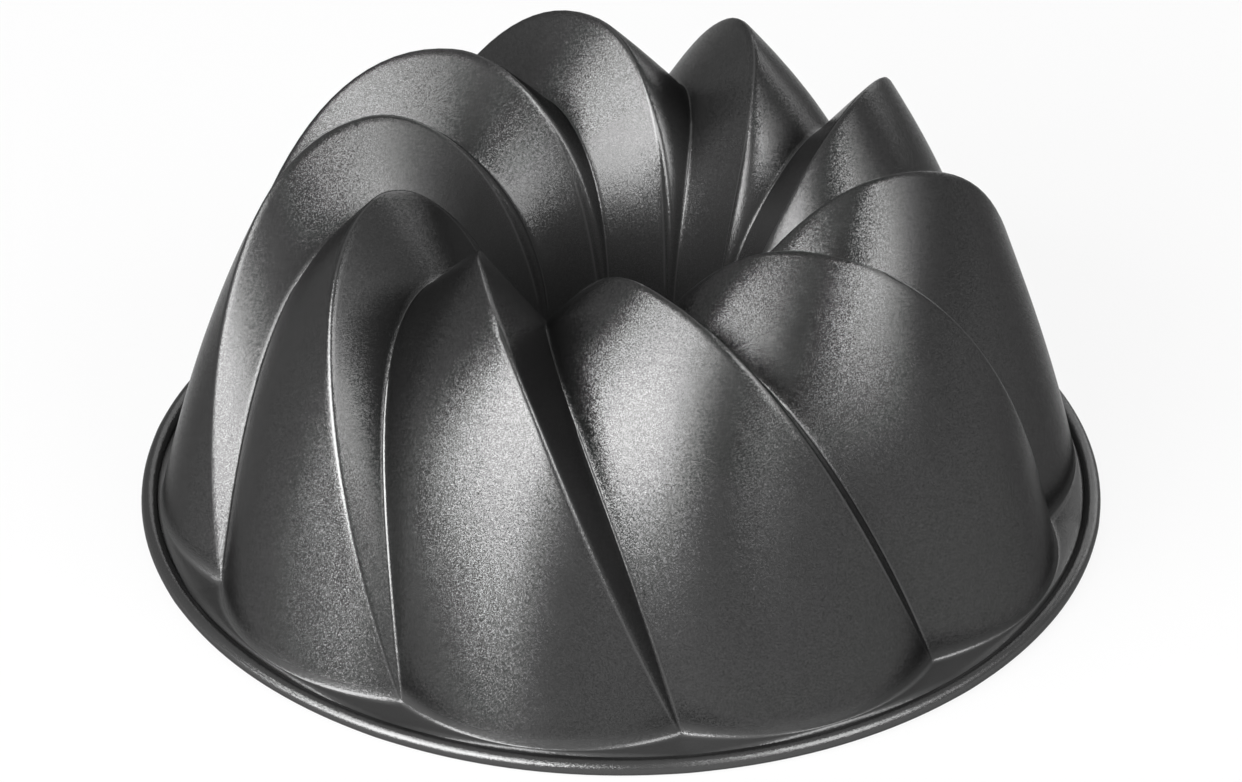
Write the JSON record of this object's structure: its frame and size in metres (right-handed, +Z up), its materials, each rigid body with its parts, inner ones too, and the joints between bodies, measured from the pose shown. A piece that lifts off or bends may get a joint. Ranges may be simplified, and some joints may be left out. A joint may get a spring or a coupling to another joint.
{
  "type": "fluted tube pan",
  "caption": "Ring-cake pan of pressed steel with swirling flutes, a rolled rim and an open centre tube, standing upside down on its rim.",
  "frame": {"origin": "centre of the ring that the rim rests on", "axes": "+Z up along the centre tube's axis, from the rim to the crest of the flutes; the picture looks along +Y and down"},
  "size_m": [0.25, 0.25, 0.1033],
  "materials": {
    "coated_steel": "satin dark grey metallic non-stick coating",
    "wire_steel": "bare drawn wire"
  },
  "bodies": {
    "root": {"fluted_shell": "coated_steel", "centre_tube": "coated_steel", "rim_wire": "wire_steel"}
  },
  "joints": []
}
